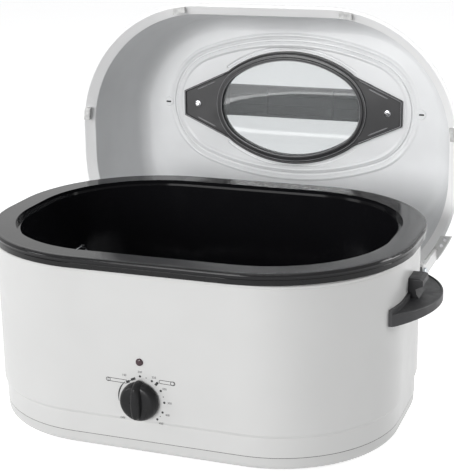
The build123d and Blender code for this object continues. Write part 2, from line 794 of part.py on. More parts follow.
fixed = {
    "outer_shell": outer_shell(),
    "base_pan": base_pan(),
    "foot_screws": foot_screws(),
    "heating_well": heating_well(),
    "heater_band": heater_band(),
    "insulation_blanket": insulation_blanket(),
    "thermostat_housing": thermostat_housing(),
    "thermostat_bracket": thermostat_bracket(),
    "indicator_lens": indicator_lens(),
    "lamp_holder": lamp_holder(),
    "terminal_block": terminal_block(),
    "cord_bushing": cord_bushing(),
    "handle_right": handle_right(),
    "handle_screws": handle_screws(),
    "hinge_bracket_right": hinge_bracket_right(),
    "hinge_pin_right": hinge_pin_right(),
    "control_shaft": control_shaft(),
    "control_knob": control_knob(),
    "roasting_pan": roasting_pan(),
    "roasting_rack": roasting_rack(),
    "rack_loop_right": rack_loop_right(),
}
fixed["rack_loop_left"] = other_side(fixed["rack_loop_right"])
fixed["handle_left"] = other_side(fixed["handle_right"])
fixed["hinge_bracket_left"] = other_side(fixed["hinge_bracket_right"])
fixed["hinge_pin_left"] = other_side(fixed["hinge_pin_right"])
for (x, y), place in zip(foot_places(), ("front_left", "rear_left", "front_right", "rear_right")):
    fixed["foot_" + place] = foot(x, y)

lid = {
    "lid_dome": lid_dome(),
    "window_frame": window_frame(),
    "window_gasket": window_gasket(),
    "window_glass": window_glass(),
    "handle_base": handle_base(),
    "lid_handle": lid_handle(),
    "lid_screws": lid_screws(),
    "hinge_arm_right": hinge_arm_right(),
    "arm_rivets": arm_rivets(),
    "lid_bumpers": lid_bumpers(),
}
lid["hinge_arm_left"] = other_side(lid["hinge_arm_right"])

# The open lid's handle is the rearmost point and the knob's fin the foremost
rear_reach = open_y + grip_peak + 0.1 - pan_top
front_reach = shell_front + knob_gap + knob_depth + fin_height
middle_y = (rear_reach - front_reach) / 2

for name, part in fixed.items():
    save(name, part)
for name, part in lid.items():
    save(name, open_lid(part))

print("hinge line y", round(hinge_y - middle_y, 3), "z", round(hinge_z, 3), "slide back", round(middle_y, 3))
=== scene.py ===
import json
import math

import bmesh
import bpy
from mathutils import Matrix, Vector


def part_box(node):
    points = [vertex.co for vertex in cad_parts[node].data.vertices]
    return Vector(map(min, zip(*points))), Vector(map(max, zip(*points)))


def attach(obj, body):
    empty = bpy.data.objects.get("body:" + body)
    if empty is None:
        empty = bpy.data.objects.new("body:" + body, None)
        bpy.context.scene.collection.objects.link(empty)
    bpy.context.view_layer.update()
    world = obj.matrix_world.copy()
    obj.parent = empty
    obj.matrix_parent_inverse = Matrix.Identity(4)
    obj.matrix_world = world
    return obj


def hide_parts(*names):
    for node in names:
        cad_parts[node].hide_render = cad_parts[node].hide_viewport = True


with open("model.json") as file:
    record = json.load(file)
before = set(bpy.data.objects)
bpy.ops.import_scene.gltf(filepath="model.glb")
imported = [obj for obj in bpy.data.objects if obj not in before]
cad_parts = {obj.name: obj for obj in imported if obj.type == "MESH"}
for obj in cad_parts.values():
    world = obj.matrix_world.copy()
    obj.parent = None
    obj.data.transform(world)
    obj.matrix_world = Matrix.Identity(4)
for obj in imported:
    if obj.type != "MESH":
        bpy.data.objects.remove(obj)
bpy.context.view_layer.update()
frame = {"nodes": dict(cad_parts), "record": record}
nodes = frame["nodes"]
print("roaster: frame loaded,", len(nodes), "nodes")


def linear(hexText):
    parts = [int(hexText[i:i + 2], 16) / 255 for i in (1, 3, 5)]
    return tuple(v / 12.92 if v <= 0.04045 else ((v + 0.055) / 1.055) ** 2.4 for v in parts) + (1.0,)


def shade(colour, gain, lift=0.0):
    return tuple(v * gain + lift for v in colour[:3]) + (1.0,)


def addNode(tree, kind, inputs=None, **settings):
    node = tree.nodes.new(kind)
    for name, value in settings.items():
        setattr(node, name, value)
    for key, value in (inputs or {}).items():
        if isinstance(value, bpy.types.NodeSocket):
            tree.links.new(value, node.inputs[key])
        else:
            node.inputs[key].default_value = value
    return node


def newMaterial(name, settings):
    material = bpy.data.materials.new(name)
    material.use_nodes = True
    tree = material.node_tree
    shader = tree.nodes["Principled BSDF"]
    for key, value in settings.items():
        shader.inputs[key].default_value = value
    return material, tree, shader


def objectPoint(tree, scale=(1, 1, 1), place=(0, 0, 0), turn=(0, 0, 0)):
    coords = addNode(tree, "ShaderNodeTexCoord")
    return addNode(tree, "ShaderNodeMapping", {
        "Vector": coords.outputs["Object"], "Scale": scale, "Location": place, "Rotation": turn}).outputs[0]


def clouds(tree, point, sizeMm, low, high, detail=3, crisp=0.5, start=0.3, end=0.7):
    # a drift between two values in patches of a real size
    drift = addNode(tree, "ShaderNodeTexNoise", {
        "Vector": point, "Scale": 1000 / sizeMm, "Detail": detail, "Roughness": crisp})
    between = addNode(tree, "ShaderNodeMapRange", {
        "Value": drift.outputs["Fac"], "From Min": start, "From Max": end, "To Min": low, "To Max": high})
    return between.outputs[0]


def mottle(tree, shader, point, sizeMm, first, second, detail=3, crisp=0.5):
    # a base colour that wanders between two shades
    wander = clouds(tree, point, sizeMm, 0, 1, detail, crisp)
    mix = addNode(tree, "ShaderNodeMix", {0: wander, 6: first, 7: second}, data_type="RGBA")
    tree.links.new(mix.outputs[2], shader.inputs["Base Color"])


def polish(tree, shader, point, sizeMm, low, high, detail=3):
    # a gloss that is uneven between two roughnesses
    tree.links.new(clouds(tree, point, sizeMm, low, high, detail), shader.inputs["Roughness"])


def relief(tree, shader, point, sizeMm, depthMm, detail=2, crisp=0.5, under=None):
    # a fine unevenness of real size and depth, laid over a coarser one when there is one under it
    grain = addNode(tree, "ShaderNodeTexNoise", {
        "Vector": point, "Scale": 1000 / sizeMm, "Detail": detail, "Roughness": crisp})
    bump = addNode(tree, "ShaderNodeBump", {"Height": grain.outputs["Fac"], "Distance": depthMm / 1000})
    if under:
        tree.links.new(under, bump.inputs["Normal"])
    tree.links.new(bump.outputs[0], shader.inputs["Normal"])
    return bump.outputs[0]


def inScene(name, data):
    thing = bpy.data.objects.new(name, data)
    bpy.context.scene.collection.objects.link(thing)
    return thing


def newPiece(name, mesh, body, material=None):
    # without a material here, the mesh brings the one that its geometry nodes gave it
    piece = inScene(name, mesh)
    if material:
        mesh.materials.clear()
        mesh.materials.append(material)
    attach(piece, body)
    return piece


def settledMesh(holder, name):
    # what a helper object comes to after its modifiers; the helper itself goes
    bpy.context.view_layer.update()
    graph = bpy.context.evaluated_depsgraph_get()
    mesh = bpy.data.meshes.new_from_object(holder.evaluated_get(graph), depsgraph=graph)
    mesh.name = name
    bpy.data.objects.remove(holder)
    return mesh


def storedMesh(mesh, name):
    made = bpy.data.meshes.new(name)
    mesh.to_mesh(made)
    mesh.free()
    return made


def joinedMesh(parts, name):
    whole = bmesh.new()
    for part in parts:
        whole.from_mesh(part)
    return storedMesh(whole, name)


def ringedMesh(name, rings, closed):
    # rings of equal count joined one to the next; closed joins the last to the first, otherwise both ends
    # are capped
    mesh = bmesh.new()
    loops = [[mesh.verts.new(p) for p in ring] for ring in rings]
    pairs = list(zip(loops, loops[1:])) + ([(loops[-1], loops[0])] if closed else [])
    for first, second in pairs:
        for i in range(len(first)):
            j = (i + 1) % len(first)
            mesh.faces.new((first[i], first[j], second[j], second[i]))
    if not closed:
        mesh.faces.new(loops[0])
        mesh.faces.new(loops[-1])
    bmesh.ops.recalc_face_normals(mesh, faces=mesh.faces)
    return storedMesh(mesh, name)


def fullTurn(count):
    return [2 * math.pi * k / count for k in range(count)]


# Angles in degrees and lengths in metres. The camera aims at a point behind and above the origin, then a
# little to its own right and up. Focal length is in pixels of a picture this many pixels high.
cameraSet = {"turn": 20.3, "height": 16.66, "roll": -0.85, "distance": 1.5, "aimBack": -0.08405,
             "aimZ": 0.232, "aimRight": 0.0216, "aimUp": -0.023, "focusPixels": 1287,
             "pictureHeight": 475, "sensorMm": 36, "near": 0.05, "far": 60}


def makeCamera():
    s = cameraSet
    turn, height, roll = (math.radians(s[key]) for key in ("turn", "height", "roll"))
    back = Vector((math.sin(turn) * math.cos(height), -math.cos(turn) * math.cos(height), math.sin(height)))
    right = Vector((math.cos(turn), math.sin(turn), 0))
    up = back.cross(right)
    aim = Vector((0, s["aimBack"], s["aimZ"])) + right * s["aimRight"] + up * s["aimUp"]
    across = right * math.cos(roll) + up * math.sin(roll)
    upward = up * math.cos(roll) - right * math.sin(roll)
    camera = inScene("camera", bpy.data.cameras.new("camera"))
    axes = Matrix((across, upward, back)).transposed().to_4x4()
    camera.matrix_world = Matrix.Translation(aim + back * s["distance"]) @ axes
    camera.data.sensor_width = s["sensorMm"]
    camera.data.lens = s["focusPixels"] * s["sensorMm"] / s["pictureHeight"]
    camera.data.clip_start, camera.data.clip_end = s["near"], s["far"]
    bpy.context.scene.camera = camera
    print("roaster: camera placed")


# lamps by place and disc size in metres and power in watts, all turned to one point, then the world and the
# paper that stands in for the room
studioSet = {
    "lamps": {
        "key": {"place": (-1.0, -4.6, 1.3), "size": 2.2, "power": 146},
        "left": {"place": (-2.3, -1.5, 1.0), "size": 0.8, "power": 12},
        "top": {"place": (0.1, -0.2, 2.3), "size": 1.4, "power": 8},
        "rim": {"place": (2.1, 1.0, 0.9), "size": 1.0, "power": 24},
    },
    "lampAim": (0, 0, 0.22), "worldColour": "#F4F5F7", "worldStrength": 0.27, "paperColour": "#F2F2F2",
    "paperGlow": 0.7, "floorSide": 9, "floorFront": -6, "floorBack": 12,
}


def makeLamps():
    for name, values in studioSet["lamps"].items():
        lamp = bpy.data.lights.new(name, "AREA")
        lamp.shape, lamp.size, lamp.energy = "DISK", values["size"], values["power"]
        holder = inScene(name, lamp)
        holder.location = values["place"]
        ahead = Vector(studioSet["lampAim"]) - holder.location
        holder.rotation_euler = ahead.to_track_quat("-Z", "Y").to_euler()
    print("roaster: lamps placed")


def whiteWhenSeen(tree):
    # one for what the camera sees, straight, reflected or through glass, and nil for what only lights
    path = addNode(tree, "ShaderNodeLightPath").outputs
    seen = addNode(tree, "ShaderNodeMath", {0: path["Is Camera Ray"], 1: path["Is Glossy Ray"]},
                   operation="MAXIMUM")
    return addNode(tree, "ShaderNodeMath", {0: seen.outputs[0], 1: path["Is Transmission Ray"]},
                   operation="MAXIMUM").outputs[0]


def makeRoom():
    s = studioSet
    world = bpy.data.worlds.new("studio")
    world.use_nodes = True
    bpy.context.scene.world = world
    tree = world.node_tree
    lit = tree.nodes["Background"]
    lit.inputs["Color"].default_value = linear(s["worldColour"])
    lit.inputs["Strength"].default_value = s["worldStrength"]
    seen = addNode(tree, "ShaderNodeBackground", {"Color": (1, 1, 1, 1), "Strength": 1.0})
    mix = addNode(tree, "ShaderNodeMixShader", {
        0: whiteWhenSeen(tree), 1: lit.outputs[0], 2: seen.outputs[0]})
    tree.links.new(mix.outputs[0], tree.nodes["World Output"].inputs[0])

    # seamless studio paper: matt, white, keeps a soft shadow
    material, tree, paper = newMaterial("paperSweep", {
        "Base Color": linear(s["paperColour"]), "Roughness": 0.9, "Specular IOR Level": 0.1})
    glow = addNode(tree, "ShaderNodeEmission", {"Color": (1, 1, 1, 1), "Strength": s["paperGlow"]})
    glowing = addNode(tree, "ShaderNodeAddShader", {0: paper.outputs[0], 1: glow.outputs[0]})
    mix = addNode(tree, "ShaderNodeMixShader", {
        0: whiteWhenSeen(tree), 1: paper.outputs[0], 2: glowing.outputs[0]})
    tree.links.new(mix.outputs[0], tree.nodes["Material Output"].inputs[0])
    mesh = bpy.data.meshes.new("floor")
    side, front, back = s["floorSide"], s["floorFront"], s["floorBack"]
    corners = [(-side, front, 0), (side, front, 0), (side, back, 0), (-side, back, 0)]
    mesh.from_pydata(corners, [], [(0, 1, 2, 3)])
    mesh.materials.append(material)
    inScene("floor", mesh)
    print("roaster: room made")


def powderCoat(name, hexText):
    # polyester powder on steel: satin, even, with a faint orange peel that softens its highlights
    material, tree, shader = newMaterial(name, {"Coat Weight": 0.25, "Coat Roughness": 0.22})
    point = objectPoint(tree)
    pale = linear(hexText)
    mottle(tree, shader, point, 90, pale, shade(pale, 0.965), detail=2)
    polish(tree, shader, point, 14, 0.33, 0.41)
    peel = relief(tree, shader, point, 3.2, 0.035)  # 1 to 2 mm in life, drawn at 3 mm to show
    relief(tree, shader, point, 0.8, 0.008, detail=1, under=peel)
    return material


def vitreousEnamel(name, hexText, rough):
    # glass fused to steel: deep black, wet looking, slightly wavy, with pale specks 2.4 mm apart
    material, tree, shader = newMaterial(name, {"Coat Weight": 0.0, "Specular IOR Level": 0.25})
    point = objectPoint(tree)
    base = linear(hexText)
    cells = addNode(tree, "ShaderNodeTexVoronoi", {"Vector": point, "Scale": 420.0})
    around = addNode(tree, "ShaderNodeMapRange", {"Value": cells.outputs["Distance"], "From Max": 0.12})
    tone = addNode(tree, "ShaderNodeMix", {
        0: around.outputs[0], 6: shade(base, 1.8, 0.004), 7: base}, data_type="RGBA")
    tree.links.new(tone.outputs[2], shader.inputs["Base Color"])
    polish(tree, shader, point, 22, rough * 0.8, rough * 1.3)
    wave = relief(tree, shader, point, 16, 0.09)
    relief(tree, shader, point, 2.2, 0.008, under=wave)
    return material


# the lid's one sheet has two finishes, with its collar coloured whiter as painted light; the collar is
# measured in metres from the mouth
lidSheetSet = {"inside": ("#E9EAEB", "#E2E3E4"), "collar": "#FCFCFC", "collarEnd": (0.0105, 0.0125),
               "outside": ("#1A1A1C", "#232325"), "facing": (0.02, 0.05)}


def lidEnamel():
    # pressed steel, pale satin enamel on its inner face and glossy black outside, told apart by the way the
    # surface faces; the collar round the mouth is painted whiter, painted light that lifts the shade falling
    # on its slope
    s = lidSheetSet
    material, tree, shader = newMaterial("twoSidedLidEnamel", {"Coat Weight": 0.3, "Coat Roughness": 0.15})
    coords = addNode(tree, "ShaderNodeTexCoord").outputs
    facing = addNode(tree, "ShaderNodeSeparateXYZ", {0: coords["Normal"]}).outputs["Y"]
    outside = addNode(tree, "ShaderNodeMapRange", {
        "Value": facing, "From Min": s["facing"][0], "From Max": s["facing"][1]}).outputs[0]
    depth = addNode(tree, "ShaderNodeSeparateXYZ", {0: coords["Object"]}).outputs["Y"]
    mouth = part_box("lid_dome")[0].y
    collar = addNode(tree, "ShaderNodeMapRange", {
        "Value": depth, "From Min": mouth + s["collarEnd"][0], "From Max": mouth + s["collarEnd"][1],
        "To Min": 1.0, "To Max": 0.0}).outputs[0]
    point = objectPoint(tree)
    inner, outer = (
        addNode(tree, "ShaderNodeMix", {0: clouds(tree, point, sizeMm, 0, 1, detail), 6: linear(s[face][0]),
                                        7: linear(s[face][1])}, data_type="RGBA").outputs[2]
        for face, sizeMm, detail in (("inside", 70, 3), ("outside", 1.8, 2)))
    # painted light: the collar is coloured near white to offset the shade on its slope
    inner = addNode(tree, "ShaderNodeMix", {
        0: collar, 6: inner, 7: linear(s["collar"])}, data_type="RGBA").outputs[2]
    both = addNode(tree, "ShaderNodeMix", {0: outside, 6: inner, 7: outer}, data_type="RGBA")
    tree.links.new(both.outputs[2], shader.inputs["Base Color"])
    satin, glossy = clouds(tree, point, 18, 0.3, 0.4), clouds(tree, point, 18, 0.16, 0.24)
    gloss = addNode(tree, "ShaderNodeMix", {0: outside, 2: satin, 3: glossy}, data_type="FLOAT")
    tree.links.new(gloss.outputs[0], shader.inputs["Roughness"])
    peel = relief(tree, shader, point, 4.0, 0.03)
    relief(tree, shader, point, 55, 0.25, under=peel)  # slow waves left by the press
    return material


def mouldedPlastic(name, hexText, rough, grainMm, depthMm, coat=0.0):
    # injection moulded nylon or phenolic: spark-etched grain that breaks up its sheen, and slow sink marks
    material, tree, shader = newMaterial(name, {"Coat Weight": coat, "Coat Roughness": 0.08})
    point = objectPoint(tree)
    base = linear(hexText)
    mottle(tree, shader, point, 30, base, shade(base, 1.35, 0.002))
    polish(tree, shader, point, 9, rough * 0.86, rough * 1.14)
    grain = relief(tree, shader, point, grainMm, depthMm, detail=3, crisp=0.6)
    relief(tree, shader, point, 40, 0.12, detail=1, under=grain)
    return material


def glossyPhenolic():
    # compression moulded phenolic: hard, dark, with a polished skin, flow marks and fine slanted scratches
    material, tree, shader = newMaterial("polishedPhenolic", {"Coat Weight": 0.0, "Specular IOR Level": 0.24})
    point = objectPoint(tree)
    mottle(tree, shader, point, 12, linear("#0C0C0D"), linear("#131315"))
    polish(tree, shader, point, 7, 0.26, 0.36)
    flow = relief(tree, shader, point, 6, 0.03)
    scratch = objectPoint(tree, scale=(1, 1, 0.06), turn=(0.2, 0.3, 0.9))
    relief(tree, shader, scratch, 0.9, 0.004, detail=1, under=flow)
    return material


def rubberSkin(name, hexText, rough):
    # silicone or nitrile rubber: soft, with a dusty bloom and no clear reflection
    material, tree, shader = newMaterial(name, {"Specular IOR Level": 0.35})
    point = objectPoint(tree)
    base = linear(hexText)
    mottle(tree, shader, point, 6, base, shade(base, 1.7, 0.004), detail=4)
    polish(tree, shader, point, 4, rough * 0.9, rough * 1.1)
    relief(tree, shader, point, 0.9, 0.02)
    return material


def drawnSteel(name, dark, pale, rough, stretch, grainMm):
    # rolled or drawn steel: fine lines along its length stretch every highlight across them
    material, tree, shader = newMaterial(name, {"Metallic": 1.0})
    lines = objectPoint(tree, scale=stretch)
    mottle(tree, shader, lines, grainMm, linear(dark), linear(pale))
    polish(tree, shader, objectPoint(tree), 8, rough * 0.75, rough * 1.3, detail=4)
    relief(tree, shader, lines, grainMm, 0.01)
    return material


def zincPlate():
    # bright zinc with clear passivate: bluish grey crystals 3.3 mm across, each with its own gloss
    material, tree, shader = newMaterial("zincPlate", {"Metallic": 1.0})
    point = objectPoint(tree)
    cells = addNode(tree, "ShaderNodeTexVoronoi", {"Vector": point, "Scale": 300.0})
    crystal = addNode(tree, "ShaderNodeSeparateXYZ", {0: cells.outputs["Color"]}).outputs[0]
    tone = addNode(tree, "ShaderNodeMix", {
        0: crystal, 6: linear("#A3A9B0"), 7: linear("#C3C7CA")}, data_type="RGBA")
    gloss = addNode(tree, "ShaderNodeMapRange", {"Value": crystal, "To Min": 0.26, "To Max": 0.42})
    tree.links.new(tone.outputs[2], shader.inputs["Base Color"])
    tree.links.new(gloss.outputs[0], shader.inputs["Roughness"])
    relief(tree, shader, point, 1.1, 0.01)
    return material


def temperedGlass():
    # float glass with a film of cooking haze: clear to look through, but what is behind it turns greyer
    material, tree, shader = newMaterial("temperedGlass", {
        "Base Color": linear("#DADDDE"), "IOR": 1.5, "Transmission Weight": 0.86})
    point = objectPoint(tree)
    haze = clouds(tree, point, 26, 0.0, 0.035, detail=4, start=0.45, end=0.8)
    tree.links.new(haze, shader.inputs["Roughness"])
    relief(tree, shader, point, 60, 0.03, detail=1)
    return material


def lampLens():
    # tinted acrylic with ridges turned behind it, 0.75 mm apart: dark maroon until the lamp is lit
    low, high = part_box("indicator_lens")
    middle = (low + high) / 2
    material, tree, shader = newMaterial("maroonAcrylic", {
        "Roughness": 0.08, "IOR": 1.49, "Coat Weight": 0.2, "Coat Roughness": 0.05})
    point = objectPoint(tree, place=(-middle.x, 0, -middle.z))
    ridges = addNode(tree, "ShaderNodeTexWave", {"Vector": point, "Scale": 420.0}, wave_type="RINGS",
                     rings_direction="Y").outputs["Fac"]
    tone = addNode(tree, "ShaderNodeMix", {
        0: ridges, 6: linear("#260D15"), 7: linear("#3A1220")}, data_type="RGBA")
    turned = addNode(tree, "ShaderNodeBump", {"Height": ridges, "Distance": 0.05 / 1000})
    tree.links.new(tone.outputs[2], shader.inputs["Base Color"])
    tree.links.new(turned.outputs[0], shader.inputs["Normal"])
    return material


def fibreMat():
    # needled ceramic wool: matt, tangled strands two or three millimetres apart
    material, tree, shader = newMaterial("needledWool", {"Roughness": 0.95, "Sheen Weight": 0.3})
    strands = objectPoint(tree, scale=(0.25, 0.25, 1.0))
    mottle(tree, shader, strands, 2.4, linear("#B8B19C"), linear("#EFEBDD"), detail=6, crisp=0.75)
    relief(tree, shader, strands, 2.4, 0.9, detail=6, crisp=0.75)
    return material


def heatTinted():
    # resistance strip clamped in steel: straw and blue bands from its first firing, rolled lines along it
    material, tree, shader = newMaterial("heatTintedSteel", {"Metallic": 1.0})
    point = objectPoint(tree)
    wide, narrow = clouds(tree, point, 45, 0, 1, detail=4), clouds(tree, point, 28, 0, 1, start=0.5, end=0.8)
    straw = addNode(tree, "ShaderNodeMix", {
        0: wide, 6: linear("#8C8377"), 7: linear("#B39C6B")}, data_type="RGBA")
    blued = addNode(tree, "ShaderNodeMix", {
        0: narrow, 6: straw.outputs[2], 7: linear("#5E6B85")}, data_type="RGBA")
    tree.links.new(blued.outputs[2], shader.inputs["Base Color"])
    polish(tree, shader, point, 5, 0.28, 0.5)
    relief(tree, shader, objectPoint(tree, scale=(1, 1, 14)), 9, 0.05)
    return material


def printedInk():
    # pad-printed epoxy ink: a thin dull black film with slightly broken edges
    material, tree, shader = newMaterial("padPrintInk", {"Roughness": 0.55})
    point = objectPoint(tree)
    mottle(tree, shader, point, 0.7, linear("#161617"), linear("#2A2A2B"), detail=2)
    relief(tree, shader, point, 0.6, 0.01, detail=1)
    return material


# the finish of each of the record's material slots: how it is made, then its colour, roughness and grain
finishSet = {
    "white_shell": (powderCoat, {"name": "whitePowderCoat", "hexText": "#C9C9C8"}),
    "white_base": (powderCoat, {"name": "whiteBaseCoat", "hexText": "#C5C5C4"}),
    "bracket_paint": (powderCoat, {"name": "whiteHingeCoat", "hexText": "#D6D6D5"}),
    "pan_enamel": (vitreousEnamel, {"name": "panEnamel", "hexText": "#121214", "rough": 0.11}),
    "well_enamel": (vitreousEnamel, {"name": "wellEnamel", "hexText": "#101011", "rough": 0.24}),
    "lid_metal": (lidEnamel, {}),
    "handle_plastic": (mouldedPlastic, {
        "name": "etchedNylon", "hexText": "#1D1D1F", "rough": 0.5, "grainMm": 1.5, "depthMm": 0.05}),
    "frame_plastic": (mouldedPlastic, {
        "name": "satinNylon", "hexText": "#1C1C1E", "rough": 0.36, "grainMm": 1.2, "depthMm": 0.02,
        "coat": 0.1}),
    "thermostat_plastic": (mouldedPlastic, {
        "name": "brownPhenolic", "hexText": "#3A2A1C", "rough": 0.4, "grainMm": 1.5, "depthMm": 0.03}),
    "terminal_plastic": (mouldedPlastic, {
        "name": "naturalNylon", "hexText": "#D9D3C4", "rough": 0.45, "grainMm": 1.4, "depthMm": 0.03}),
    "knob_plastic": (glossyPhenolic, {}),
    "gasket_rubber": (rubberSkin, {"name": "blackSilicone", "hexText": "#141415", "rough": 0.55}),
    "foot_rubber": (rubberSkin, {"name": "nitrileFoot", "hexText": "#1B1B1C", "rough": 0.78}),
    "bumper_silicone": (rubberSkin, {"name": "milkySilicone", "hexText": "#ACACAB", "rough": 0.5}),
    "bright_screw": (drawnSteel, {"name": "brightScrew", "dark": "#B9B9BC", "pale": "#E0E0E2",
                                  "rough": 0.14, "stretch": (1, 0.1, 1), "grainMm": 0.6}),
    "rack_chrome": (drawnSteel, {"name": "chromedWire", "dark": "#B4B5B8", "pale": "#D8D9DB",
                                 "rough": 0.1, "stretch": (0.15, 1, 1), "grainMm": 0.8}),
    "zinc_steel": (zincPlate, {}), "window_glass": (temperedGlass, {}), "lamp_lens": (lampLens, {}),
    "blanket_fibre": (fibreMat, {}), "heater_steel": (heatTinted, {}),
}


def paintAll():
    made = {slot: make(**values) for slot, (make, values) in finishSet.items()}
    for part in frame["record"]["subparts"]:
        if part["node"] in nodes:
            for slot in nodes[part["node"]].material_slots:
                slot.material = made[part["material_slot"]]
    print("roaster: finishes done")
    return made


def newTree(label, inputs, output):
    tree = bpy.data.node_groups.new(label, "GeometryNodeTree")
    for name, kind in inputs.items():
        tree.interface.new_socket(name=name, in_out="INPUT", socket_type="NodeSocket" + kind)
    tree.interface.new_socket(name=output, in_out="OUTPUT", socket_type="NodeSocketGeometry")
    return tree, addNode(tree, "NodeGroupInput").outputs


def endTree(tree, instances, finish):
    real = addNode(tree, "GeometryNodeRealizeInstances", {0: instances})
    done = addNode(tree, "GeometryNodeSetMaterial", {0: real.outputs[0], "Material": finish})
    addNode(tree, "NodeGroupOutput", {0: done.outputs[0]})


def runTree(name, points, tree, values):
    mesh = bpy.data.meshes.new(name + "Points")
    mesh.from_pydata(points, [], [])
    holder = inScene(name + "Points", mesh)
    modifier = holder.modifiers.new("repeat", "NODES")
    modifier.node_group = tree
    for item in tree.interface.items_tree:
        if item.item_type == "SOCKET" and item.in_out == "INPUT" and item.name in values:
            modifier[item.identifier] = values[item.name]
    return settledMesh(holder, name)


def placingTree(label):
    # one shape at each place, each turned a little further than the one before
    inputs = {"Places": "Geometry", "Shape": "Object", "Turn": "Vector", "Next Turn": "Float",
              "Finish": "Material"}
    tree, given = newTree(label, inputs, "Placed")
    shape = addNode(tree, "GeometryNodeObjectInfo", {"Object": given["Shape"]})
    index = addNode(tree, "GeometryNodeInputIndex")
    spin = addNode(tree, "ShaderNodeMath", {0: index.outputs[0], 1: given["Next Turn"]}, operation="MULTIPLY")
    own = addNode(tree, "ShaderNodeCombineXYZ", {"Y": spin.outputs[0]})
    turn = addNode(tree, "ShaderNodeVectorMath", {0: given["Turn"], 1: own.outputs[0]}, operation="ADD")
    placed = addNode(tree, "GeometryNodeInstanceOnPoints", {
        "Points": given["Places"], "Instance": shape.outputs["Geometry"], "Rotation": turn.outputs[0]})
    endTree(tree, placed.outputs[0], given["Finish"])
    return tree


# The printed dial round the knob. Angles are in degrees clockwise from the top and sizes in metres. The
# frames and dashes beside it are in millimetres right of and above the knob's middle: two ends, then a
# frame's half height and line, or a dash's width.
dialSet = {
    "dotAngles": (0, 30, 60, 89, 114, 137), "tickAngles": (15, 75, 126), "dotTurn": 0.0275,
    "dotRadius": 0.00135, "tickRadius": 0.0006, "corners": 20, "film": 0.00008, "panelDepth": 0.0016,
    "numbers": {-35: "150", 0: "200", 30: "250", 60: "300", 89: "350", 114: "400", 137: "450", -137: "OFF"},
    "numberSize": 0.0034, "numberTurn": 0.0325, "besideFrom": 70, "besideTo": 150, "besideShift": 0.0012,
    "frames": (((-36.5, 19.8), (-17, 19.3), 1.9, 0.6), ((24, 24.2), (37.8, 23.9), 1.9, 0.6),
               ((-38.2, 19.8), (-37.6, 19.8), 2.1, 0.7), ((37.5, 23.9), (38.5, 23.9), 2.1, 0.7)),
    "dashes": (((-16.5, 18.6), (-12.5, 20.4), 2.8), ((-10.6, 22.2), (-5.6, 24.6), 2.8),
               ((-13, 20.2), (-10, 22.4), 0.9), ((17.6, 19.4), (20.8, 23.2), 2.8)),
    "sweepAngles": range(-100, -42, 3), "sweepTurn": 0.0262, "sweepThin": 0.0004, "sweepSwell": 0.0013,
}


def dialPoint(angle, radius):
    low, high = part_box("control_shaft")
    middle = (low + high) / 2
    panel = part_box("outer_shell")[0].y + dialSet["panelDepth"]
    a = math.radians(angle)
    return Vector((middle.x + radius * math.sin(a), panel, middle.z + radius * math.cos(a)))


def dotTree():
    tree, given = newTree("dialDots", {
        "Places": "Geometry", "Dot Radius": "Float", "Film": "Float", "Ink": "Material"}, "Dots")
    disc = addNode(tree, "GeometryNodeMeshCylinder", {
        "Vertices": dialSet["corners"], "Radius": given["Dot Radius"], "Depth": given["Film"]})
    turned = addNode(tree, "GeometryNodeTransform", {0: disc.outputs[0], "Rotation": (math.pi / 2, 0, 0)})
    placed = addNode(tree, "GeometryNodeInstanceOnPoints", {
        "Points": given["Places"], "Instance": turned.outputs[0]})
    endTree(tree, placed.outputs[0], given["Ink"])
    return tree


def ribbon(points, width, film):
    # a flat band along points on the panel, given a film's thickness towards the front
    mesh = bmesh.new()
    left, right = [], []
    for i, p in enumerate(points):
        before, after = points[max(i - 1, 0)], points[min(i + 1, len(points) - 1)]
        along = (after - before).normalized()
        side = Vector((-along.z, 0, along.x)) * width(i / (len(points) - 1)) / 2
        left.append(mesh.verts.new(p + side))
        right.append(mesh.verts.new(p - side))
    for i in range(len(points) - 1):
        mesh.faces.new((left[i], left[i + 1], right[i + 1], right[i]))
    bmesh.ops.recalc_face_normals(mesh, faces=mesh.faces)
    grown = bmesh.ops.extrude_face_region(mesh, geom=mesh.faces[:])
    front = [v for v in grown["geom"] if isinstance(v, bmesh.types.BMVert)]
    bmesh.ops.translate(mesh, verts=front, vec=(0, -film, 0))
    bmesh.ops.recalc_face_normals(mesh, faces=mesh.faces)
    return storedMesh(mesh, "ribbon")


def barOutline(start, end, half, line, film, steps=8):
    # a round-ended outline between two panel points
    along = (end - start).normalized()
    side = Vector((-along.z, 0, along.x))
    ring = []
    for centre, first in ((end, -90), (start, 90)):
        for k in range(steps + 1):
            a = math.radians(first + 180 * k / steps)
            ring.append(centre + along * half * math.cos(a) + side * half * math.sin(a))
    ring.append(ring[0])
    return ribbon(ring, lambda t: line, film)


def numberMesh(text, place):
    curve = bpy.data.curves.new("number", "FONT")
    curve.body, curve.size, curve.extrude = text, dialSet["numberSize"], dialSet["film"] / 2
    curve.align_x, curve.align_y = "CENTER", "CENTER"
    mesh = settledMesh(inScene("number", curve), "number")
    mesh.transform(Matrix.Translation(place) @ Matrix.Rotation(math.pi / 2, 4, "X"))
    return mesh


